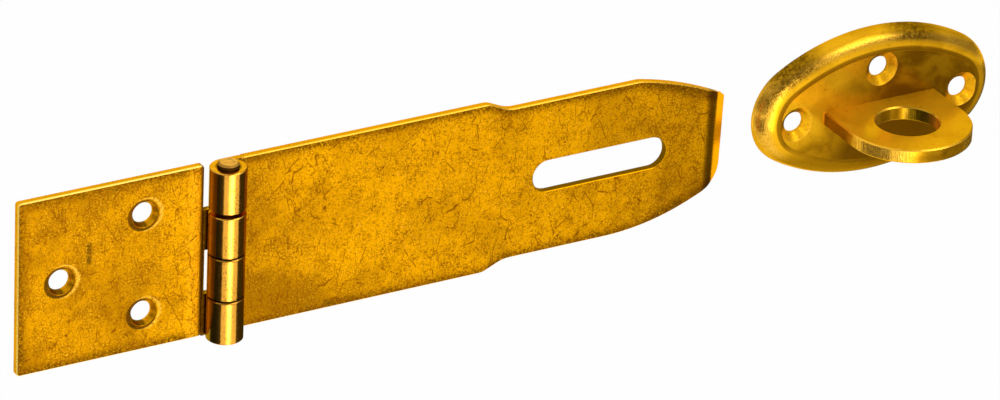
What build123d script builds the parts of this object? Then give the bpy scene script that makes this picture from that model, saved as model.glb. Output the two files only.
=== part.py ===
from build123d import *
from math import asin, atan, cos, degrees, radians, sin, sqrt, tan
import os

# A padlock hasp with its staple, in yellow zinc plated sheet steel.
# The fixed leaf and the slotted strap are cut from sheet and rolled round one pin. The staple is
# an oval pressed plate with a half-round eye riveted through it. Both lie against one wall.
# +X runs from the fixed leaf towards the strap's tip, +Y goes into the wall, +Z runs up the pin.
# The origin is on the wall, midway between the two screw holes beside the hinge.

# Hinge, in millimetres like everything below
sheet = 1.6                 # thickness of both leaves
leaf_height = 40.0          # height of both leaves, and length of the whole barrel
bore_radius = 2.4           # inside of the rolled knuckles
pin_clearance = 0.08        # from the pin to the knuckles, on the radius
pin_rise = 1.1              # how far the sheared pin stands out at the top
pin_drop = 0.4              # and at the bottom
pin_end_chamfer = 0.4       # worn edge of the pin's ends
knuckle_gap = 0.3           # between neighbouring knuckles
top_gap = 0.9               # the same between the two upper knuckles, which are cut shorter
notch_clearance = 0.3       # from the barrel to the notched edge of the other leaf
lower_notch_step = 0.4      # the fixed leaf's lower notch is cut this much shallower
seam_gap = 0.15             # from a knuckle's rolled end to its own leaf
edge_chamfer = 0.2          # rolled-over edges of the cut sheet on the front, and knuckle rims

# Fixed leaf
leaf_length = 47.0          # pin axis to the free end
leaf_corner = 0.7           # corner radius
screw_to_hinge = 18.0       # pin axis to the two screws beside it
screw_spread = 23.0         # between those two, along the pin
screw_step = 19.1           # from them to the third screw
screw_hole_radius = 2.35
countersink_depth = 1.0
countersink_slope = 45.0    # of its cone, in degrees from the leaf's face
countersink_round = 0.6     # rounding of its lip

# Staple
staple_lift = 1.2           # the eye and the outer screws lie this far above the leaf's middle
staple_gap = 8.0            # strap's tip to the oval plate
plate_length = 59.4
plate_height = 34.2
plate_end_radius = 12.2     # of the oval's two ends, whose sides are larger arcs
plate_rise = 5.0            # how far the plateau stands off the wall
plate_rim = 4.4             # outside radius of the rolled-back rim
plate_sheet = 1.5
plate_lift = 0.4            # the oval's middle lies this far above the eye
plateau_step = 0.2          # the coined plateau stands above the rim's crest
plateau_inset = 0.3         # and starts this far inside it
outer_screw_spread = 42.2   # between the staple's left and right screws
upper_screw_lift = 9.2      # upper screw above those two
dimple_depth = 1.5          # pressed dimple round each screw hole
dimple_slope = 35.0         # of its cone, in degrees from the plateau
dimple_round = 1.0          # rounding of its lip
dimple_foot = 0.6           # flat ring round the hole behind it
dimple_land = 0.6           # straight length of the hole at its foot

# Eye of the staple
eye_width = 28.4
eye_thickness = 3.2
eye_reach = 11.4            # plateau to the middle of the shackle hole
shackle_radius = 7.0
eye_chamfer = 0.3           # rolled-over edges of the eye and its hole
tenon_width = 10.7
tenon_clearance = 0.05      # from the tenon to its slot in the plate
rivet_height = 0.9          # the tenon's upset head behind the plate
rivet_spread = 0.8          # how far it spreads past the slot

# Strap
strap_length = 121.9        # pin axis to the tip
slot_end_clearance = 2.2    # from the eye to each end of the slot
slot_side_clearance = 2.05  # from the eye to each side of the slot
slot_to_tip = 30.7          # slot's middle to the tip
neck_length = 53.7          # low part of the strap, up to the tip
shoulder_run = 4.9          # length of the slanting shoulder before it
shoulder_round = 4.0        # outer corner of the shoulder
neck_round = 8.0            # inner corner of the shoulder
neck_height = 35.6          # height of the neck
taper_length = 21.4         # up to the tip
taper_radius = 80.0         # the tapered edges are gentle arcs
upper_taper_round = 8.0     # where the taper starts
lower_taper_round = 55.0
tip_height = 20.5           # height of the tip before its corners are rounded
tip_skew = 0.6              # its lower corner was sheared this much shorter
upper_tip_corner = 0.6
lower_tip_corner = 7.5
tip_land = 1.6              # flat land along the tip, pressed thinner from the front
tip_step_depth = 0.4        # how much thinner
tip_step_run = 2.8          # length of the smooth step down to it

# Worked out from the sizes above
barrel_radius = bore_radius + sheet
hinge_x = screw_to_hinge
hinge_y = -barrel_radius
notch_reach = barrel_radius + notch_clearance
knuckle_pitch = leaf_height / 4
slot_length = eye_width + 2 * slot_end_clearance
slot_width = eye_thickness + 2 * slot_side_clearance
slot_offset = strap_length - slot_to_tip
neck_offset = strap_length - neck_length
shoulder_offset = neck_offset - shoulder_run
taper_offset = strap_length - taper_length
staple_x = hinge_x + strap_length + staple_gap + plate_length / 2
plate_z = staple_lift + plate_lift
through = 4 * barrel_radius     # deep enough to cut through any sheet here
cutter_air = 0.2                # how far a cutter stands out of the face it cuts


def knuckle_spans():
    """Lower and upper end of each knuckle, from the top one down."""
    top = leaf_height / 2
    joints = [knuckle_pitch, 0.0, -knuckle_pitch]
    gaps = [top_gap, knuckle_gap, knuckle_gap]
    uppers = [top] + [z - gap / 2 for z, gap in zip(joints, gaps)]
    lowers = [z + gap / 2 for z, gap in zip(joints, gaps)] + [-top]
    return list(zip(lowers, uppers))


def rolled_section(side):
    """Section of a knuckle and of the strip that joins it to its leaf, on the side given."""
    seam = asin((bore_radius - seam_gap) / barrel_radius)
    end = Vector(cos(seam), sin(seam))
    root_back = Line((notch_reach, barrel_radius), (0, barrel_radius))
    outside = CenterArc((0, 0), barrel_radius, 90, 270 + degrees(seam))
    closed_end = Line(end * barrel_radius, end * bore_radius)
    inside = CenterArc((0, 0), bore_radius, 90, 270 + degrees(seam))
    root_front = Line((0, bore_radius), (notch_reach, bore_radius))
    root_end = Line((notch_reach, bore_radius), (notch_reach, barrel_radius))
    section = make_face([root_back, outside, closed_end, inside, root_front, root_end])
    return section if side > 0 else section.mirror(Plane.YZ)


def knuckle(side, span):
    """One rolled knuckle between two heights, its outer end edges broken."""
    lower, upper = span
    solid = extrude(rolled_section(side), upper - lower)
    rims = [e for e in solid.edges().filter_by(GeomType.CIRCLE) if abs(e.radius - barrel_radius) < 1e-6]
    solid = chamfer(rims, edge_chamfer)
    return Pos(hinge_x, hinge_y, lower) * solid


def front_rim(blank, joined_x):
    """Edges round the front face of a flat sheet, but for the one the knuckles join."""
    front = blank.faces().sort_by(Axis.Y)[0]
    return [edge for edge in front.edges() if edge.bounding_box().min.X < joined_x - edge_chamfer]


def seat_radius(depth, slope, lip_round):
    """Radius at which the rounded lip of a screw's seat meets the face round it."""
    angle = radians(slope)
    cone_depth = depth - lip_round * (1 - cos(angle))
    return screw_hole_radius + cone_depth / tan(angle) + lip_round * sin(angle)


def screw_cutter(depth, slope, lip_round):
    """Screw hole with a conical seat in the face at y 0, whose lip is rounded over."""
    seat = seat_radius(depth, slope, lip_round)
    foot = (screw_hole_radius, depth)
    roll = JernArc((seat, 0), (-1, 0), lip_round, slope)
    cone = Line(roll @ 1, foot)
    rest = Polyline(foot, (0, depth), (0, -cutter_air), (seat, -cutter_air), (seat, 0))
    return revolve(make_face([roll, cone, rest]), Axis.Y) + Cylinder(
        screw_hole_radius, through, rotation=(90, 0, 0)
    )


def make_fixed_leaf():
    """Rectangular leaf with three countersunk screw holes and the second and fourth knuckle."""
    free_end = hinge_x - leaf_length
    notched_end = hinge_x - notch_reach
    outline = Pos((free_end + notched_end) / 2, 0) * RectangleRounded(
        notched_end - free_end, leaf_height, leaf_corner
    )
    blank = extrude(Plane.XZ * outline, sheet)
    blank = chamfer(front_rim(blank, notched_end), edge_chamfer)
    spans = knuckle_spans()
    lower, upper = spans[2][0] - knuckle_gap, spans[2][1] + knuckle_gap
    step = Box(lower_notch_step, sheet, upper - lower, align=(Align.MIN, Align.MAX, Align.MIN))
    leaf = blank + Pos(notched_end, 0, lower) * step + knuckle(-1, spans[1]) + knuckle(-1, spans[3])
    screw = screw_cutter(countersink_depth, countersink_slope, countersink_round)
    for x, z in [(0, screw_spread / 2), (0, -screw_spread / 2), (-screw_step, 0)]:
        leaf -= Pos(x, -sheet, z) * screw
    return leaf


def strap_outline():
    """Flat outline of the strap: full height, shoulder, neck, bowed taper and blunt tip."""
    half = leaf_height / 2
    neck = neck_height / 2
    tip = tip_height / 2
    lower_tip = strap_length - tip_skew
    outline = make_face([
        Line((notch_reach, half), (shoulder_offset, half)),
        Line((shoulder_offset, half), (neck_offset, neck)),
        Line((neck_offset, neck), (taper_offset, neck)),
        RadiusArc((taper_offset, neck), (strap_length, tip), taper_radius),
        Line((strap_length, tip), (lower_tip, -tip)),
        RadiusArc((lower_tip, -tip), (taper_offset, -neck), taper_radius),
        Line((taper_offset, -neck), (neck_offset, -neck)),
        Line((neck_offset, -neck), (shoulder_offset, -half)),
        Line((shoulder_offset, -half), (notch_reach, -half)),
        Line((notch_reach, -half), (notch_reach, half)),
    ])
    for x, z, upper_radius, lower_radius in [
        (strap_length, tip, upper_tip_corner, lower_tip_corner),
        (taper_offset, neck, upper_taper_round, lower_taper_round),
        (neck_offset, neck, neck_round, neck_round),
        (shoulder_offset, half, shoulder_round, shoulder_round),
        (notch_reach, half, leaf_corner, leaf_corner),
    ]:
        outline = fillet(corner(outline, x, z), upper_radius)
        outline = fillet(corner(outline, x, -z), lower_radius)
    return outline


def corner(outline, x, z):
    """The outline's vertex at a place."""
    return outline.vertices().sort_by_distance((x, z))[0]


def strap_section():
    """Side view of the strap's sheet: flat, with the smooth step down to the land at its tip."""
    turn = 2 * atan(tip_step_depth / tip_step_run)
    radius = tip_step_run / (2 * sin(turn))
    back = Line((strap_length, 0), (notch_reach, 0))
    root_end = Line((notch_reach, 0), (notch_reach, -sheet))
    front = Line((notch_reach, -sheet), (strap_length - tip_land - tip_step_run, -sheet))
    step_over = JernArc(front @ 1, (1, 0), radius, degrees(turn))
    step_out = JernArc(step_over @ 1, step_over % 1, radius, -degrees(turn))
    land = Line(step_out @ 1, (strap_length, tip_step_depth - sheet))
    end = Line(land @ 1, back @ 0)
    return make_face([back, root_end, front, step_over, step_out, land, end])


def strap_edge_scrap():
    """What the chamfer takes off round the front of the strap."""
    size = 2 * strap_length
    layer = Box(size, edge_chamfer, size, align=(Align.MIN, Align.MIN, Align.CENTER))
    front = Plane.XZ.offset(sheet - edge_chamfer)
    kept = extrude(front * strap_outline(), edge_chamfer, taper=45)
    return Pos(0, -sheet, 0) * layer - kept


def make_strap():
    """Slotted strap with the first and third knuckle."""
    sheet_bar = extrude(strap_section(), leaf_height, both=True)
    cut_out = extrude(Plane.XZ * strap_outline(), through, both=True)
    slot = Plane.XZ * (Pos(slot_offset, 0) * SlotOverall(slot_length, slot_width))
    slot_rim = Plane.XZ.offset(sheet) * (Pos(slot_offset, 0) * SlotOverall(
        slot_length + 2 * edge_chamfer, slot_width + 2 * edge_chamfer
    ))
    blank = (sheet_bar & cut_out) - strap_edge_scrap()
    blank -= extrude(slot, through, both=True)
    blank -= extrude(slot_rim, -edge_chamfer, taper=45)
    spans = knuckle_spans()
    return Pos(hinge_x, 0, 0) * blank + knuckle(1, spans[0]) + knuckle(1, spans[2])


def make_pin():
    """Plain sheared pin, a little longer than the barrel."""
    half = leaf_height / 2
    pin = Cylinder(bore_radius - pin_clearance, 2 * half + pin_rise + pin_drop)
    pin = chamfer(pin.edges().filter_by(GeomType.CIRCLE), pin_end_chamfer)
    return Pos(hinge_x, hinge_y, (pin_rise - pin_drop) / 2) * pin


def oval(shrink):
    """Outline of the staple plate drawn in by the amount given: two end arcs and two side arcs."""
    length = plate_length / 2 - shrink
    height = plate_height / 2 - shrink
    end = plate_end_radius - shrink
    side = (length**2 + height**2 - 2 * length * end) / (2 * (height - end))
    joint = Vector(length - end, 0) + Vector(length - end, side - height).normalized() * end
    x, z = joint.X, joint.Y
    return make_face([
        ThreePointArc((x, -z), (length, 0), (x, z)),
        ThreePointArc((x, z), (0, height), (-x, z)),
        ThreePointArc((-x, z), (-length, 0), (-x, -z)),
        ThreePointArc((-x, -z), (0, -height), (x, -z)),
    ])


def oval_block(shrink):
    """Oval block and the edges round its front, its walls and front drawn in by the amount given."""
    block = extrude(Plane.XZ * oval(shrink), plate_rise - plateau_step - shrink)
    return block, block.faces().sort_by(Axis.Y)[0].edges()


def dimple_backing(wall):
    """Where a screw's dimple bulges behind a wall of this thickness, whose back is at y 0."""
    return Cone(
        screw_hole_radius + dimple_foot,
        seat_radius(dimple_depth, dimple_slope, dimple_round),
        dimple_depth + dimple_land - wall,
        rotation=(90, 0, 0),
        align=(Align.CENTER, Align.CENTER, Align.MAX),
    )


def make_staple_plate():
    """Oval pressed plate, hollow behind, with three dimpled screw holes and the tenon's slot."""
    block, front_edges = oval_block(0)
    plate = fillet(front_edges, plate_rim)
    plate += extrude(Plane.XZ * oval(plate_rim + plateau_inset), plate_rise)
    block, front_edges = oval_block(plate_sheet)
    plate -= chamfer(front_edges, (plate_rim - plate_sheet) * (2 - sqrt(2)))
    eye_z = -plate_lift
    half_spread = outer_screw_spread / 2
    wall = plate_sheet + plateau_step
    screw = screw_cutter(dimple_depth, dimple_slope, dimple_round)
    for x, z in [(-half_spread, eye_z), (half_spread, eye_z), (0, eye_z + upper_screw_lift)]:
        plate += Pos(x, wall - plate_rise, z) * dimple_backing(wall)
        plate -= Pos(x, -plate_rise, z) * screw
    slot = Box(tenon_width + 2 * tenon_clearance, through, eye_thickness + 2 * tenon_clearance)
    plate -= Pos(0, 0, eye_z) * slot
    return Pos(staple_x, 0, plate_z) * plate


def make_staple_eye():
    """Half-round eye whose tenon goes through the plate and is riveted over behind it."""
    half = eye_width / 2
    left = Line((-half, 0), (-half, -eye_reach))
    round_end = CenterArc((0, -eye_reach), half, 180, 180)
    right = Line((half, -eye_reach), (half, 0))
    shoulders = Line((half, 0), (-half, 0))
    hole = Pos(0, -eye_reach) * Circle(shackle_radius)
    outline = make_face([left, round_end, right, shoulders]) - hole
    body = extrude(outline, eye_thickness / 2, both=True)
    rims = [e for e in body.edges() if not e.is_closed and abs(e.center().Z) > 0 and e.center().Y < 0]
    body = chamfer(rims + list(body.edges().filter_by(lambda e: e.is_closed)), eye_chamfer)
    wall = plate_sheet + plateau_step
    behind = (Align.CENTER, Align.MIN, Align.CENTER)
    tenon = Box(tenon_width, wall, eye_thickness, align=behind)
    rivet = Box(
        tenon_width + 2 * rivet_spread,
        rivet_height,
        eye_thickness + 2 * rivet_spread,
        align=behind,
    )
    rivet = chamfer(rivet.faces().sort_by(Axis.Y)[-1].edges(), rivet_height / 2)
    return Pos(staple_x, -plate_rise, staple_lift) * (body + tenon + Pos(0, wall, 0) * rivet)


os.makedirs("parts", exist_ok=True)
nodes = {
    "fixed_leaf": make_fixed_leaf(),
    "strap": make_strap(),
    "hinge_pin": make_pin(),
    "staple_plate": make_staple_plate(),
    "staple_eye": make_staple_eye(),
}
for name, shape in nodes.items():
    export_step(shape, f"parts/{name}.step")
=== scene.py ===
import bpy
from math import cos, radians, sin
from mathutils import Matrix, Vector

# A padlock hasp and its staple in yellow zinc plated steel.
# The studio is laid out in metres; the materials are in millimetres of the object's own frame.
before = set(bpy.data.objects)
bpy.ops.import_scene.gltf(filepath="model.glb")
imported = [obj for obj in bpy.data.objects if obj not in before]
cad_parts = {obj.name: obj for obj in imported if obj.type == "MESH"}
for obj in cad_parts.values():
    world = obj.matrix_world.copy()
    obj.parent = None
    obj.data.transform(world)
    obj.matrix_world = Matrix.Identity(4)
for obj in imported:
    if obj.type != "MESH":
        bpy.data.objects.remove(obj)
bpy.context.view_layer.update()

MM_PER_METRE = 1000.0
METRES_PER_MM = 0.001

# Colours, as linear red, green and blue
GOLD = (0.87, 0.386, 0.001)
BURNISHED_GOLD = (0.95, 0.44, 0.048)
BRONZE = (0.41, 0.168, 0.001)
# Brown of scratches and grain, also used for painted shade at the fixed leaf's bend
SCRATCH_AND_SHADE_BROWN = (0.20, 0.062, 0.001)
# Brown of the hairline marks, also used for the painted dark reflection on the tip's flat
MARK_AND_REFLECTION_BROWN = (0.20, 0.056, 0.001)
# Painted shade in the slot and the screw holes
RECESS_SHADE_BROWN = (0.09, 0.045, 0.002)
BORDER_BROWN = (0.09, 0.046, 0.001)
# Painted dark reflection on the knuckles' flanks
FLANK_DARK_REFLECTION = (0.30, 0.17, 0.02)
# Dark brown of the scrape, also used for painted shade in crevices, at the seats and on the pin's side
GRIME_AND_SHADE = (0.06, 0.025, 0.002)
# Painted glints in the sheet's grain
GLINT_GOLD = (1.0, 0.58, 0.03)
# Painted highlight on the fixed leaf beside its knuckles
ROOT_HIGHLIGHT_GOLD = (1.0, 0.46, 0.006)
# Painted highlight on the flat at the strap's tip
LAND_HIGHLIGHT_GOLD = (1.0, 0.36, 0.002)
# Painted highlight on the front corner of the sheared edges
EDGE_HIGHLIGHT_GOLD = (1.0, 0.66, 0.12)
RIM_GOLD = (1.0, 0.53, 0.045)
STAPLE_GOLD = (0.80, 0.40, 0.008)
# Painted shade and dark reflection on the staple
STAPLE_SHADE = (0.16, 0.066, 0.001)
# Painted dark reflection on the staple's rim
RIM_DARK_REFLECTION = (0.08, 0.036, 0.001)
EYE_SIDE = (0.16, 0.092, 0.001)
SHEARED_STEEL = (0.90, 0.47, 0.07)
SHEARED_DARK = (0.10, 0.045, 0.012)
SHEARED_GLINT = (0.85, 0.50, 0.16)
GLANCING_TINT = (1.0, 0.72, 0.16)

# Places on the hinged leaf and strap, in millimetres
HINGE_X, HINGE_Y = 18.0, -4.0
BARREL_RADIUS = 4.0
KNUCKLE_PITCH = 10.0
JOINTS_REACH = (17.0, 18.0)
KNUCKLE_CORNER = (2.7, 3.4)
PIN_RING = 2.5
SHEET = 1.6
LEAF_END_X = -29.0
LEAF_ROOT_X = 13.7
LEAF_HALF = 20.0
SCREWS = ((0.0, 11.5), (0.0, -11.5), (-19.1, 0.0))
SEAT_RADIUS = 3.6
SCUFF_X, SCUFF_Z = -12.6, 5.1
NECK_HALF = 17.8
SHOULDER_X = (81.0, 86.5)
TAPER_X = (118.5, 139.9)
TIP_HALF = 10.2
LAND_END_X = 139.6
TIP_SLANT = 0.03
LAND_FADE = (1.4, 1.9)
GROOVE_RISE = (1.5, 2.1)
GROOVE_FADE = (3.0, 4.6)
# Height of the painted dark reflection across the tip's flat
DARK_BAND_Z = 1.5

# Places on the staple, in millimetres
PLATE_X = 177.6
PLATEAU_Y = -5.0
CREST_Y = -4.8
PLATE_SCREWS = ((156.5, 1.2), (198.7, 1.2), (177.6, 10.4))
DIMPLE_FADE = (3.6, 4.6)


class Finish:
    """One procedural material: shader nodes added and linked by short calls."""

    def __init__(self, name):
        self.material = bpy.data.materials.new(name)
        self.material.use_nodes = True
        self.tree = self.material.node_tree
        self.shader = self.tree.nodes["Principled BSDF"]
        place = self.add("ShaderNodeTexCoord").outputs["Object"]
        self.mm = self.vector("MULTIPLY", place, (MM_PER_METRE,) * 3)
        split = self.add("ShaderNodeSeparateXYZ", {"Vector": self.mm})
        self.x, self.y, self.z = split.outputs
        facing = self.add("ShaderNodeTexCoord").outputs["Normal"]
        turned = self.add("ShaderNodeSeparateXYZ", {"Vector": facing})
        self.facing_out = self.span(self.absolute(turned.outputs["Y"]), 0.80, 0.95)
        self.facing_up = self.span(self.absolute(turned.outputs["Z"]), 0.60, 0.85)
        self.facing_left = self.span(turned.outputs["X"], -0.10, -0.35)
        self.facing_sky = self.span(turned.outputs["Z"], 0.10, 0.35)

    def add(self, kind, inputs=None, **settings):
        node = self.tree.nodes.new(kind)
        for key, value in settings.items():
            setattr(node, key, value)
        for key, value in (inputs or {}).items():
            self.put(node.inputs[key], value)
        return node

    def put(self, socket, value):
        if isinstance(value, bpy.types.NodeSocket):
            self.tree.links.new(value, socket)
        elif isinstance(value, tuple) and len(socket.default_value) == 4:
            socket.default_value = (*value, 1.0)
        else:
            socket.default_value = value

    def math(self, operation, a, b=0.0, clamp=False):
        node = self.add("ShaderNodeMath", {0: a, 1: b}, operation=operation, use_clamp=clamp)
        return node.outputs[0]

    def absolute(self, value):
        return self.math("ABSOLUTE", value)

    def less(self, value, taken, clamp=False):
        return self.math("SUBTRACT", value, taken, clamp)

    def inverse(self, mask):
        return self.less(1.0, mask)

    def plus(self, first, *others, clamp=False):
        for other in others:
            first = self.math("ADD", first, other, clamp)
        return first

    def times(self, first, *others, clamp=False):
        for other in others:
            first = self.math("MULTIPLY", first, other, clamp)
        return first

    def most(self, first, *others):
        for other in others:
            first = self.math("MAXIMUM", first, other)
        return first

    def vector(self, operation, a, b=(0.0, 0.0, 0.0), c=(0.0, 0.0, 0.0)):
        node = self.add("ShaderNodeVectorMath", operation=operation)
        for socket, value in zip(node.inputs, (a, b, c)):
            self.put(socket, value)
        return node.outputs[0]

    def span(self, value, low, high, to_low=0.0, to_high=1.0):
        """Smooth step from one value to another between two levels."""
        node = self.add(
            "ShaderNodeMapRange",
            {"Value": value, 1: low, 2: high, 3: to_low, 4: to_high},
            interpolation_type="SMOOTHSTEP",
        )
        return node.outputs[0]

    def fade(self, value, low, high, share=1.0):
        """Full share up to the low level, falling smoothly to nothing at the high one."""
        return self.span(value, low, high, share, 0.0)

    def noise(self, size, detail=3.0, rough=0.5, bend=0.0, at=None):
        """Cloudy noise whose blotches are about this many millimetres across."""
        inputs = {"Vector": at or self.mm, "Scale": 1.0 / size}
        inputs.update({"Detail": detail, "Roughness": rough, "Distortion": bend})
        return self.add("ShaderNodeTexNoise", inputs).outputs[0]

    def crackle(self, size, width, wander, keep, shift, tall=1.0):
        """Broken hairlines: cell borders of this size, pulled about and kept only in patches."""
        moved = self.vector("ADD", self.mm, (shift, 0.0, -shift))
        pull = self.add("ShaderNodeTexNoise", {"Vector": moved, "Scale": 1.3 / size, "Detail": 4.0})
        pulled = self.vector("MULTIPLY_ADD", pull.outputs["Color"], (wander,) * 3, moved)
        pulled = self.vector("MULTIPLY", pulled, (1.0, 1.0, 1.0 / tall))
        cells = self.add(
            "ShaderNodeTexVoronoi", {"Vector": pulled, "Scale": 1.0 / size}, feature="DISTANCE_TO_EDGE"
        )
        line = self.fade(cells.outputs["Distance"], 0.0, width / size)
        patch = self.noise(size * 0.8, 3.0, 0.6, at=self.vector("ADD", moved, (7.0, 3.0, 1.0)))
        return self.times(line, self.span(patch, keep, keep + 0.08))

    def nearest(self, places):
        """Distance in millimetres from the nearest of these places on the face of the sheet."""
        best = None
        for x, z in places:
            away = self.vector("SUBTRACT", self.mm, (x, 0.0, z))
            away = self.vector("MULTIPLY", away, (1.0, 0.0, 1.0))
            node = self.add("ShaderNodeVectorMath", {0: away}, operation="LENGTH")
            here = node.outputs["Value"]
            best = here if best is None else self.math("MINIMUM", best, here)
        return best

    def mix(self, share, first, second):
        node = self.add("ShaderNodeMix", data_type="RGBA")
        self.put(node.inputs[0], share)
        self.put(node.inputs[6], first)
        self.put(node.inputs[7], second)
        return node.outputs[2]

    def lift(self, height, depth, under=None):
        """Bump of this many millimetres."""
        inputs = {"Height": height, "Distance": depth * METRES_PER_MM, "Strength": 1.0}
        if under is not None:
            inputs["Normal"] = under
        return self.add("ShaderNodeBump", inputs).outputs[0]

    def finish(self, color, roughness, normal, metallic):
        self.put(self.shader.inputs["Base Color"], color)
        self.put(self.shader.inputs["Roughness"], roughness)
        self.put(self.shader.inputs["Normal"], normal)
        self.put(self.shader.inputs["Metallic"], metallic)
        self.put(self.shader.inputs["Specular IOR Level"], 0.0)
        self.put(self.shader.inputs["Specular Tint"], GLANCING_TINT)
        return self.material


class PlatedSheet(Finish):
    """Yellow zinc on rolled sheet: hairline crackle, fine grain and clouds on its two faces.

    The rolled knuckles are burnished, so there the finish turns smoother and clearer. The sheared
    edges carry a painted highlight along their front corner, and painted shade sits between the
    knuckles and at their roots.
    """

    def __init__(self, name, edge_distance, darkening, edge_shine):
        super().__init__(name)
        self.inwards = edge_distance(self)
        self.darkening = darkening(self)
        self.edge_shine = edge_shine
        self.seat = self.nearest(SCREWS)
        self.across = self.less(self.x, HINGE_X)
        depth = self.less(self.y, HINGE_Y)
        square = self.plus(self.times(self.across, self.across), self.times(depth, depth))
        self.radius = self.math("SQRT", square)
        self.rolled = self.fade(self.radius, BARREL_RADIUS + 0.15, BARREL_RADIUS + 0.6)
        self.on_face = self.times(self.facing_out, self.inverse(self.rolled))
        self.blotches = self.noise(3.0, 4.0, 0.62, 0.3)
        self.grain = self.noise(0.40, 3.0, 0.7)
        self.specks = self.noise(0.55, 3.0, 0.8, 0.6)
        self.edge = self.plus(self.inwards, self.span(self.blotches, 0.3, 0.7, -0.8, 0.8))
        self.near_edge = self.fade(self.edge, 0.2, 3.0)
        self.from_tip = self.less(self.plus(self.times(self.z, TIP_SLANT), LAND_END_X), self.x)
        self.land = self.fade(self.from_tip, *LAND_FADE)
        self.worked = self.times(self.on_face, self.inverse(self.land))

    def hairlines(self):
        """Broken lines of three sizes, and dark dots."""
        fine = self.times(self.crackle(0.95, 0.12, 1.4, 0.49, 0.0), 0.75)
        coarse = self.crackle(4.2, 0.09, 2.8, 0.49, 31.0)
        tall = self.crackle(3.4, 0.10, 1.0, 0.48, 57.0, tall=3.2)
        at_edge = self.times(self.near_edge, 0.8)
        patch = self.plus(self.span(self.blotches, 0.42, 0.62), at_edge, clamp=True)
        dots = self.times(self.span(self.specks, 0.50, 0.62), patch)
        return self.times(self.most(fine, coarse, tall, dots), self.worked)

    def scuff(self):
        """One dark broken scrape on the fixed leaf."""
        ragged = self.span(self.specks, 0.3, 0.7, -SCUFF_X - 0.5, -SCUFF_X + 0.5)
        aside = self.absolute(self.plus(self.x, ragged))
        along = self.absolute(self.less(self.z, SCUFF_Z))
        broken = self.times(self.span(self.specks, 0.37, 0.52), self.on_face)
        return self.times(self.fade(aside, 0.3, 0.9), self.fade(along, 2.0, 3.2), broken)

    def tarnish(self):
        """Dull clouds, stronger along the outline, with the broad darkening given for each part added."""
        clouds = self.span(self.noise(13.0, 4.0, 0.6, 0.6), 0.40, 0.64, 0.0, 0.42)
        patches = self.span(self.blotches, 0.45, 0.75, 0.0, 0.30)
        outline = self.times(self.near_edge, self.span(self.blotches, 0.30, 0.60, 0.20, 0.85))
        total = self.plus(clouds, patches, outline, self.darkening)
        return self.times(total, self.worked, clamp=True)

    def crevice_shade(self):
        """Painted shade between the knuckles, at their roots, round the pin and in the tip's groove."""
        height = self.plus(self.z, 2.0 * KNUCKLE_PITCH)
        joint = self.fade(self.math("PINGPONG", height, KNUCKLE_PITCH / 2.0), 0.25, 0.75)
        joint = self.times(joint, self.rolled, self.fade(self.absolute(self.z), *JOINTS_REACH), 0.7)
        root = self.fade(self.absolute(self.across), BARREL_RADIUS + 0.2, BARREL_RADIUS + 1.6, 0.75)
        root = self.times(root, self.on_face)
        groove = self.span(self.from_tip, *GROOVE_RISE)
        groove = self.times(groove, self.fade(self.from_tip, *GROOVE_FADE), 0.80)
        pin_ring = self.times(self.facing_up, self.fade(self.radius, PIN_RING, PIN_RING + 0.5, 0.9))
        uneven = self.span(self.grain, 0.3, 0.7, 0.6, 1.0)
        return self.times(self.most(joint, root, groove, pin_ring), uneven)

    def shaded_inner_walls(self):
        """Painted shade on the walls of the slot and the screw holes, but hardly on the lit slopes of the
        seats.
        """
        walls = self.inverse(self.most(self.rolled, self.facing_out))
        below_face = self.span(self.y, 0.06 - SHEET, 0.16 - SHEET)
        lit_slope = self.times(self.facing_left, self.fade(self.seat, 4.0, 4.2, 0.9))
        return self.times(self.span(self.inwards, 1.0, 1.5), walls, below_face, self.inverse(lit_slope))

    def front_edge_highlight(self):
        """Painted highlight along the front corner of the sheared edges."""
        at_outline = self.fade(self.inwards, 1.5, 2.5, self.edge_shine)
        rim = self.less(at_outline, self.plus(self.facing_out, self.rolled), clamp=True)
        return self.times(rim, self.fade(self.y, 0.35 - SHEET, 0.55 - SHEET))

    def speckle(self, color):
        """Fine brown grain and painted bright glints, thicker in some patches than in others."""
        patches = self.span(self.noise(6.0, 3.0, 0.6, 0.4), 0.40, 0.60, 0.15, 1.0)
        patches = self.times(patches, self.inverse(self.land), self.span(self.darkening, -0.2, 0.3, 0.55, 1.0))
        grains = self.times(self.fade(self.grain, 0.34, 0.54, 0.70), patches)
        painted_glints = self.times(self.span(self.grain, 0.54, 0.66, 0.0, 0.45), patches, self.on_face)
        return self.mix(painted_glints, self.mix(grains, color, SCRATCH_AND_SHADE_BROWN), GLINT_GOLD)

    def outline(self, color):
        border = self.times(self.fade(self.edge, 0.1, 1.9), self.span(self.specks, 0.42, 0.54))
        return self.mix(self.times(border, self.worked), color, BORDER_BROWN)

    def seats(self, color):
        """Painted shade at the lower left of each screw seat and a painted highlight on the lip at its
        right.
        """
        dark_side = self.nearest([(x - 0.35, z - 0.15) for x, z in SCREWS])
        lit_side = self.nearest([(x + 0.45, z) for x, z in SCREWS])
        shadow = self.fade(dark_side, SEAT_RADIUS - 0.2, SEAT_RADIUS + 0.15)
        shadow = self.times(shadow, self.facing_out)
        lip_highlight = self.fade(lit_side, SEAT_RADIUS + 0.05, SEAT_RADIUS + 0.5, 0.7)
        outside = self.span(self.seat, SEAT_RADIUS - 0.1, SEAT_RADIUS + 0.1)
        lip_highlight = self.times(lip_highlight, self.inverse(shadow), outside)
        return self.mix(lip_highlight, self.mix(self.times(shadow, 0.92), color, GRIME_AND_SHADE), RIM_GOLD)

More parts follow.
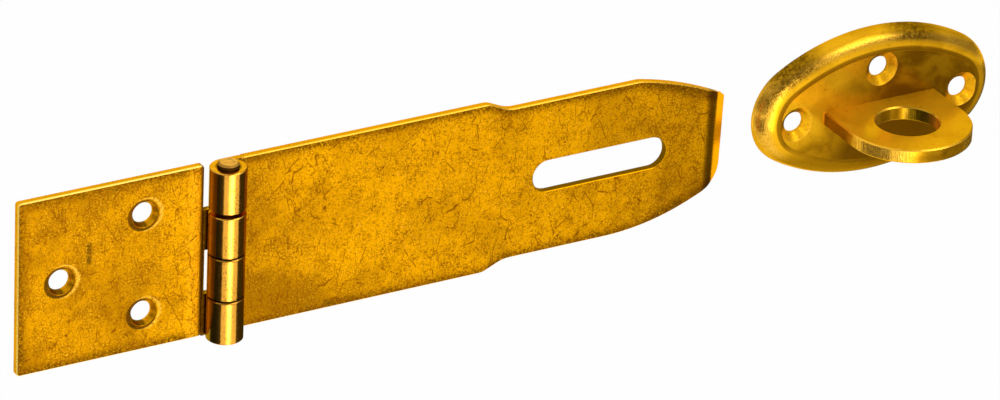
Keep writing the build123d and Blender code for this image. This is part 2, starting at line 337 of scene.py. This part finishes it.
    def tip_land(self, color):
        """The pressed flat at the strap's tip: a painted highlight in clean orange, with a painted dark
        reflection across its middle.
        """
        dark_reflection_band = self.fade(self.absolute(self.less(self.z, DARK_BAND_Z)), 0.8, 4.5, 0.65)
        color = self.mix(self.times(self.land, 0.85), color, LAND_HIGHLIGHT_GOLD)
        return self.mix(self.times(self.land, self.on_face, dark_reflection_band), color, MARK_AND_REFLECTION_BROWN)

    def leaf_root_light_and_shade(self, color):
        """The fixed leaf beside its knuckles: a painted highlight strip, then a painted shade line at the
        bend.
        """
        from_root = self.less(LEAF_ROOT_X, self.x)
        painted_highlight_strip = self.times(self.span(from_root, 0.0, 0.1), self.fade(from_root, 2.5, 4.5, 0.6))
        color = self.mix(self.times(painted_highlight_strip, self.on_face), color, ROOT_HIGHLIGHT_GOLD)
        # Painted shade: a dark line where the leaf bends into its knuckles
        shadowed = self.times(self.span(from_root, -0.1, 0.0), self.fade(from_root, 0.4, 0.9, 0.9))
        return self.mix(shadowed, color, SCRATCH_AND_SHADE_BROWN)

    def knuckle_flank_reflection(self, color):
        # Painted dark reflection on the flanks of the knuckles
        corner = self.span(self.absolute(self.across), *KNUCKLE_CORNER, 0.0, 0.9)
        corner = self.times(corner, self.rolled, self.inverse(self.facing_up))
        return self.mix(corner, color, FLANK_DARK_REFLECTION)

    def build(self):
        marks = self.hairlines()
        rubbed = self.times(self.crackle(1.6, 0.10, 1.5, 0.52, 83.0), self.on_face)
        rim = self.front_edge_highlight()
        color = self.mix(self.rolled, GOLD, BURNISHED_GOLD)
        color = self.mix(self.times(rubbed, 0.35), color, BURNISHED_GOLD)
        color = self.mix(self.tarnish(), color, BRONZE)
        color = self.speckle(color)
        # Painted shade in the slot and the screw holes
        color = self.mix(self.times(self.shaded_inner_walls(), 0.9), color, RECESS_SHADE_BROWN)
        color = self.outline(color)
        color = self.seats(color)
        color = self.tip_land(color)
        # Painted highlight on the front corner of the sheared edges
        color = self.mix(rim, color, EDGE_HIGHLIGHT_GOLD)
        color = self.leaf_root_light_and_shade(color)
        color = self.mix(self.times(marks, 0.95), color, MARK_AND_REFLECTION_BROWN)
        color = self.mix(self.times(self.scuff(), 0.8), color, GRIME_AND_SHADE)
        color = self.knuckle_flank_reflection(color)
        # Painted shade in the crevices of the hinge and in the tip's groove
        color = self.mix(self.crevice_shade(), color, GRIME_AND_SHADE)

        satin = self.span(self.rolled, 0.0, 1.0, 0.30, 0.15)
        uneven = self.span(self.grain, 0.35, 0.65, -0.05, 0.06)
        roughness = self.plus(satin, uneven, self.times(marks, 0.15))
        tooth = self.times(self.grain, self.span(self.rolled, 0.0, 1.0, 1.0, 0.5))
        normal = self.lift(self.less(rubbed, marks), 0.016, self.lift(tooth, 0.014))
        # The painted highlights on the edges and the tip's flat are also less metallic
        less_metal = self.times(self.most(rim, self.land), 0.5)
        metallic = self.less(self.span(self.rolled, 0.0, 1.0, 0.88, 1.0), less_metal)
        return self.finish(color, roughness, normal, metallic)


def leaf_edge(f):
    """Distance in millimetres from the fixed leaf's outline, inwards."""
    from_end = f.less(f.x, LEAF_END_X)
    from_side = f.less(LEAF_HALF, f.absolute(f.z))
    return f.math("MINIMUM", from_end, from_side)


def strap_edge(f):
    """Distance in millimetres from the strap's long outline, inwards."""
    slope = (NECK_HALF - TIP_HALF) / (TAPER_X[1] - TAPER_X[0])
    shoulder = f.span(f.x, *SHOULDER_X, LEAF_HALF, NECK_HALF)
    taper = f.times(f.most(f.less(f.x, TAPER_X[0]), 0.0), slope)
    return f.less(f.less(shoulder, taper), f.absolute(f.z))


def leaf_darkening(f):
    """Darker towards the leaf's free end than beside the hinge."""
    return f.span(f.x, -5.0, 12.0, 0.46, -0.02)


def strap_darkening(f):
    """Darker beside the hinge, most of all low down, and towards the tip."""
    by_hinge = f.span(f.x, 24.0, 46.0, 0.48, -0.16)
    by_tip = f.span(f.x, 95.0, 132.0, 0.0, 0.44)
    low_down = f.times(f.span(f.z, -5.0, -17.0, 0.0, 0.85), f.fade(f.x, 30.0, 62.0))
    return f.plus(by_hinge, by_tip, low_down)


class PressedPlate(Finish):
    """The same plating on the pressed staple: smooth, with a few rubbed specks.

    The eye's sheared edge shows fine tear lines across the sheet.
    """

    def __init__(self, name):
        super().__init__(name)
        self.clouds = self.noise(9.0, 3.0, 0.55, 0.5)
        self.grain = self.noise(0.35, 3.0, 0.7)
        self.specks = self.noise(0.8, 4.0, 0.75, 0.5)
        self.dimple = self.fade(self.nearest(PLATE_SCREWS), *DIMPLE_FADE)
        self.on_flat = self.most(self.facing_out, self.facing_up)
        self.flat = self.most(self.on_flat, self.dimple)
        self.sunk = self.span(self.y, PLATEAU_Y + 0.03, PLATEAU_Y + 0.13)

    def plateau_dark_reflection(self, color):
        """A painted dark reflection on the plateau, growing to the right and downwards."""
        rightwards = self.span(self.x, PLATE_X - 18.0, PLATE_X + 2.0, 0.0, 0.88)
        downwards = self.span(self.z, 2.0, -9.0, 0.0, 0.72)
        uneven = self.span(self.clouds, 0.35, 0.65, -0.15, 0.15)
        plateau = self.times(self.facing_out, self.inverse(self.times(self.sunk, 0.65)))
        total = self.plus(rightwards, downwards, uneven)
        return self.mix(self.times(total, plateau, clamp=True), color, STAPLE_SHADE)

    def crease_and_lower_shade(self, color):
        """Painted shade: a dark line round the plateau's foot, and a darker rim along the bottom of the
        plate.
        """
        foot = self.times(self.sunk, self.fade(self.y, CREST_Y + 0.03, CREST_Y + 0.10))
        foot = self.times(foot, self.facing_out, self.span(self.z, -9.0, -3.0), 0.80)
        low = self.times(self.inverse(self.facing_sky), self.fade(self.y, CREST_Y + 1.4, CREST_Y + 2.6))
        low = self.times(self.sunk, low, self.span(self.z, -4.0, -9.0, 0.0, 0.75))
        return self.mix(low, self.mix(foot, color, STAPLE_SHADE), STAPLE_SHADE)

    def dimples(self, color):
        """The slopes of the dimples that face right and down lie in shade."""
        lit = self.most(self.facing_left, self.facing_sky, self.facing_out)
        unlit = self.times(self.dimple, self.inverse(lit), 0.8)
        return self.mix(unlit, color, STAPLE_SHADE)

    def rim_dark_reflections(self, color):
        """Two speckled painted dark reflections on the outside of the rim, at the left and above."""
        aside = self.less(self.x, PLATE_X)
        left = self.times(self.span(aside, -29.0, -24.0), self.fade(aside, -19.0, -12.0))
        above = self.times(self.span(aside, 0.0, 7.0), self.fade(aside, 10.0, 19.0))
        on_rim = self.times(self.span(self.y, CREST_Y + 0.15, CREST_Y + 0.70), self.span(self.z, 1.0, 5.0))
        # Speckled strength of the painted dark reflections
        rubbed = self.span(self.specks, 0.36, 0.62, 0.55, 0.95)
        return self.mix(self.times(self.plus(left, above), on_rim, rubbed), color, RIM_DARK_REFLECTION)

    def eye_side(self, color):
        """The left side of the eye, which faces away from the light."""
        off_plate = self.fade(self.y, PLATEAU_Y - 0.4, PLATEAU_Y - 0.2)
        near_plate = self.span(self.y, -20.0, -13.0, 0.0, 0.97)
        share = self.times(self.facing_left, off_plate, near_plate, self.inverse(self.flat))
        return self.mix(share, color, EYE_SIDE)

    def build(self):
        drawn_out = self.vector("MULTIPLY", self.mm, (1.0 / 7.0, 1.0 / 0.16, 1.0 / 0.16))
        across_sheet = self.vector("MULTIPLY", self.mm, (4.5, 4.5, 0.35))
        drawn = self.noise(1.0, 2.0, 0.6, 0.2, at=drawn_out)
        torn = self.span(self.noise(1.0, 2.0, 0.6, 0.2, at=across_sheet), 0.48, 0.62)
        torn = self.times(torn, self.inverse(self.on_flat))
        color = self.mix(self.flat, RIM_GOLD, STAPLE_GOLD)
        color = self.mix(self.span(self.clouds, 0.42, 0.72, 0.0, 0.35), color, BRONZE)
        color = self.plateau_dark_reflection(color)
        color = self.crease_and_lower_shade(color)
        color = self.dimples(color)
        color = self.rim_dark_reflections(color)
        color = self.eye_side(color)
        color = self.mix(self.span(drawn, 0.58, 0.80, 0.0, 0.25), color, BRONZE)
        color = self.mix(self.span(self.specks, 0.58, 0.68, 0.0, 0.60), color, SCRATCH_AND_SHADE_BROWN)
        color = self.mix(self.times(torn, 0.25), color, SCRATCH_AND_SHADE_BROWN)

        polished = self.span(self.grain, 0.3, 0.7, 0.11, 0.17)
        roughness = self.plus(polished, self.span(self.clouds, 0.3, 0.7, -0.02, 0.04))
        normal = self.lift(self.specks, 0.02, self.lift(self.grain, 0.008))
        normal = self.lift(torn, 0.012, normal)
        return self.finish(color, roughness, normal, self.span(self.flat, 0.0, 1.0, 0.85, 0.50))


def sheared_pin(name):
    """Rod cut off by a shear: a mottled coppery end, and painted shade round its side."""
    f = Finish(name)
    mottle = f.noise(0.9, 4.0, 0.65, 0.8)
    grain = f.noise(0.3, 3.0, 0.7)
    color = f.mix(f.span(mottle, 0.50, 0.72, 0.0, 0.72), SHEARED_STEEL, SHEARED_DARK)
    color = f.mix(f.span(grain, 0.5, 0.8, 0.0, 0.5), color, SHEARED_GLINT)
    # Painted shade on every face of the pin not turned up
    color = f.mix(f.inverse(f.facing_up), color, GRIME_AND_SHADE)
    normal = f.lift(grain, 0.03, f.lift(mottle, 0.10))
    return f.finish(color, f.span(grain, 0.3, 0.7, 0.40, 0.60), normal, 0.5)


def dress(node, material):
    """Puts one material on every slot of a CAD node."""
    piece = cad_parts[node]
    if not piece.material_slots:
        piece.data.materials.append(material)
    for slot in piece.material_slots:
        slot.material = material


dress("fixed_leaf", PlatedSheet("plated_leaf", leaf_edge, leaf_darkening, 0.9).build())
dress("strap", PlatedSheet("plated_strap", strap_edge, strap_darkening, 0.3).build())
dress("staple_plate", PressedPlate("plated_plate").build())
dress("staple_eye", PressedPlate("plated_eye").build())
dress("hinge_pin", sheared_pin("pin_steel"))

# Camera at the photograph's angle, in degrees, metres and millimetres of lens
AZIMUTH, ELEVATION, ROLL = 30.441, 26.979, 2.547
CAMERA_PLACE = (-0.600638, -1.168061, 0.685430)
LENS = 256.806
SENSOR_WIDTH = 36.0
NEAR_CLIP = 0.01


def add_camera():
    a, e, roll = radians(AZIMUTH), radians(ELEVATION), radians(ROLL)
    right = Vector((cos(a), -sin(a), 0.0))
    up = Vector((sin(a) * sin(e), cos(a) * sin(e), cos(e)))
    ahead = Vector((sin(a) * cos(e), cos(a) * cos(e), -sin(e)))
    across = cos(roll) * right + sin(roll) * up
    above = cos(roll) * up - sin(roll) * right
    camera = bpy.data.objects.new("camera", bpy.data.cameras.new("camera"))
    turn = Matrix((across, above, -ahead)).transposed()
    camera.matrix_world = Matrix.Translation(CAMERA_PLACE) @ turn.to_4x4()
    camera.data.lens = LENS
    camera.data.sensor_width = SENSOR_WIDTH
    camera.data.clip_start = NEAR_CLIP
    bpy.context.scene.collection.objects.link(camera)
    bpy.context.scene.camera = camera


add_camera()

# Studio: pale floor, white surroundings, one tall soft light in front and dark cards at the sides
FLOOR_Z = -0.35
FLOOR_HALF = 4.0
FLOOR_GLOW = 0.96
FLOOR_WHITE = (0.9, 0.9, 0.9, 1.0)
WHITE = (1.0, 1.0, 1.0, 1.0)
CARD_LIFT = 0.005
CARD_BLACK = (0.02, 0.02, 0.02, 1.0)
CARD_ROUGHNESS = 0.9
RIGHT_CARD = [
    (0.50, -0.50), (0.545, -0.56), (0.56, -0.62), (0.77, -1.0),
    (1.6, -1.0), (1.6, 0.5), (0.42, 0.5), (0.42, -0.40),
]
LEFT_CARD = [(-0.25, -0.225), (-1.21, -1.03), (-1.29, 0.92), (-0.27, 0.20)]
LOOK_AT = Vector((0.04, -0.005, 0.0))
FRONT_DIMMING = 0.45
SIDE_DIMMING = 0.85


def flat_shape(name, corners, material):
    mesh = bpy.data.meshes.new(name)
    mesh.from_pydata(corners, [], [tuple(range(len(corners)))])
    shape = bpy.data.objects.new(name, mesh)
    shape.data.materials.append(material)
    bpy.context.scene.collection.objects.link(shape)
    return shape


def math_node(tree, operation, *values):
    node = tree.nodes.new("ShaderNodeMath")
    node.operation = operation
    for socket, value in zip(node.inputs, values):
        if isinstance(value, float):
            socket.default_value = value
        else:
            tree.links.new(value, socket)
    return node.outputs[0]


def seen_white(tree):
    """1 for rays that look at the surroundings directly, in a mirror or through glass."""
    rays = tree.nodes.new("ShaderNodeLightPath").outputs
    direct_or_mirror = math_node(tree, "MAXIMUM", rays["Is Camera Ray"], rays["Is Glossy Ray"])
    return math_node(tree, "MAXIMUM", direct_or_mirror, rays["Is Transmission Ray"])


def floor_material():
    material = bpy.data.materials.new("pale_floor")
    material.use_nodes = True
    tree = material.node_tree
    tree.nodes.clear()
    output = tree.nodes.new("ShaderNodeOutputMaterial")
    blend = tree.nodes.new("ShaderNodeMixShader")
    matte = tree.nodes.new("ShaderNodeBsdfDiffuse")
    glow = tree.nodes.new("ShaderNodeEmission")
    matte.inputs["Color"].default_value = FLOOR_WHITE
    glow.inputs["Color"].default_value = WHITE
    glow.inputs["Strength"].default_value = 1.0
    share = math_node(tree, "MULTIPLY", seen_white(tree), FLOOR_GLOW)
    tree.links.new(share, blend.inputs[0])
    tree.links.new(matte.outputs[0], blend.inputs[1])
    tree.links.new(glow.outputs[0], blend.inputs[2])
    tree.links.new(blend.outputs[0], output.inputs[0])
    return material


def card_material():
    material = bpy.data.materials.new("dark_card")
    material.use_nodes = True
    shader = material.node_tree.nodes["Principled BSDF"]
    shader.inputs["Base Color"].default_value = CARD_BLACK
    shader.inputs["Roughness"].default_value = CARD_ROUGHNESS
    return material


def dark_card(name, corners):
    """A card on the floor that only mirrors see."""
    card = flat_shape(name, [(x, y, FLOOR_Z + CARD_LIFT) for x, y in corners], card_material())
    card.visible_camera = False
    card.visible_diffuse = False
    card.visible_shadow = False


def soft_light(name, place, size, power):
    """A lamp of this width and height in metres and power in watts, aimed at the part."""
    lamp = bpy.data.lights.new(name, "AREA")
    lamp.shape = "RECTANGLE"
    lamp.size, lamp.size_y = size
    lamp.energy = power
    light = bpy.data.objects.new(name, lamp)
    light.location = Vector(place)
    light.rotation_euler = (LOOK_AT - light.location).to_track_quat("-Z", "Y").to_euler()
    light.visible_camera = False
    bpy.context.scene.collection.objects.link(light)


def surroundings():
    """White all round, but dimmer up in front of the wall and dark low down at both sides."""
    world = bpy.data.worlds.new("surroundings")
    bpy.context.scene.world = world
    world.use_nodes = True
    tree = world.node_tree
    background = tree.nodes["Background"]
    background.inputs["Color"].default_value = WHITE
    direction = tree.nodes.new("ShaderNodeSeparateXYZ")
    tree.links.new(tree.nodes.new("ShaderNodeTexCoord").outputs["Generated"], direction.inputs[0])

    def ramp(value, low, high):
        node = tree.nodes.new("ShaderNodeMapRange")
        node.inputs["From Min"].default_value = low
        node.inputs["From Max"].default_value = high
        tree.links.new(value, node.inputs["Value"])
        return node.outputs[0]

    def dimmed(mask, share):
        return math_node(tree, "MULTIPLY_ADD", mask, -share, 1.0)

    x, y, z = direction.outputs
    sideways = math_node(tree, "ABSOLUTE", x)
    front = math_node(tree, "MULTIPLY", ramp(y, 0.1, -0.4), ramp(z, 0.05, 0.35))
    side = math_node(tree, "MULTIPLY", ramp(sideways, 0.65, 0.85), ramp(z, 0.62, 0.42))
    level = math_node(tree, "MULTIPLY", dimmed(front, FRONT_DIMMING), dimmed(side, SIDE_DIMMING))
    seen = tree.nodes.new("ShaderNodeLightPath").outputs["Is Camera Ray"]
    tree.links.new(math_node(tree, "MAXIMUM", level, seen), background.inputs["Strength"])


corners = [(x * FLOOR_HALF, y * FLOOR_HALF, FLOOR_Z) for x, y in ((-1, -1), (1, -1), (1, 1), (-1, 1))]
flat_shape("floor", corners, floor_material())
dark_card("card_right", RIGHT_CARD)
dark_card("card_left", LEFT_CARD)
soft_light("tall_front", place=(0.0, -0.58, 0.03), size=(0.42, 0.74), power=1.6)
soft_light("bright_core", place=(0.0, -0.57, 0.03), size=(0.15, 0.74), power=1.6)
soft_light("overhead", place=(0.55, -0.50, 0.85), size=(0.5, 0.5), power=1.8)
surroundings()

bpy.context.scene.view_settings.view_transform = "Standard"
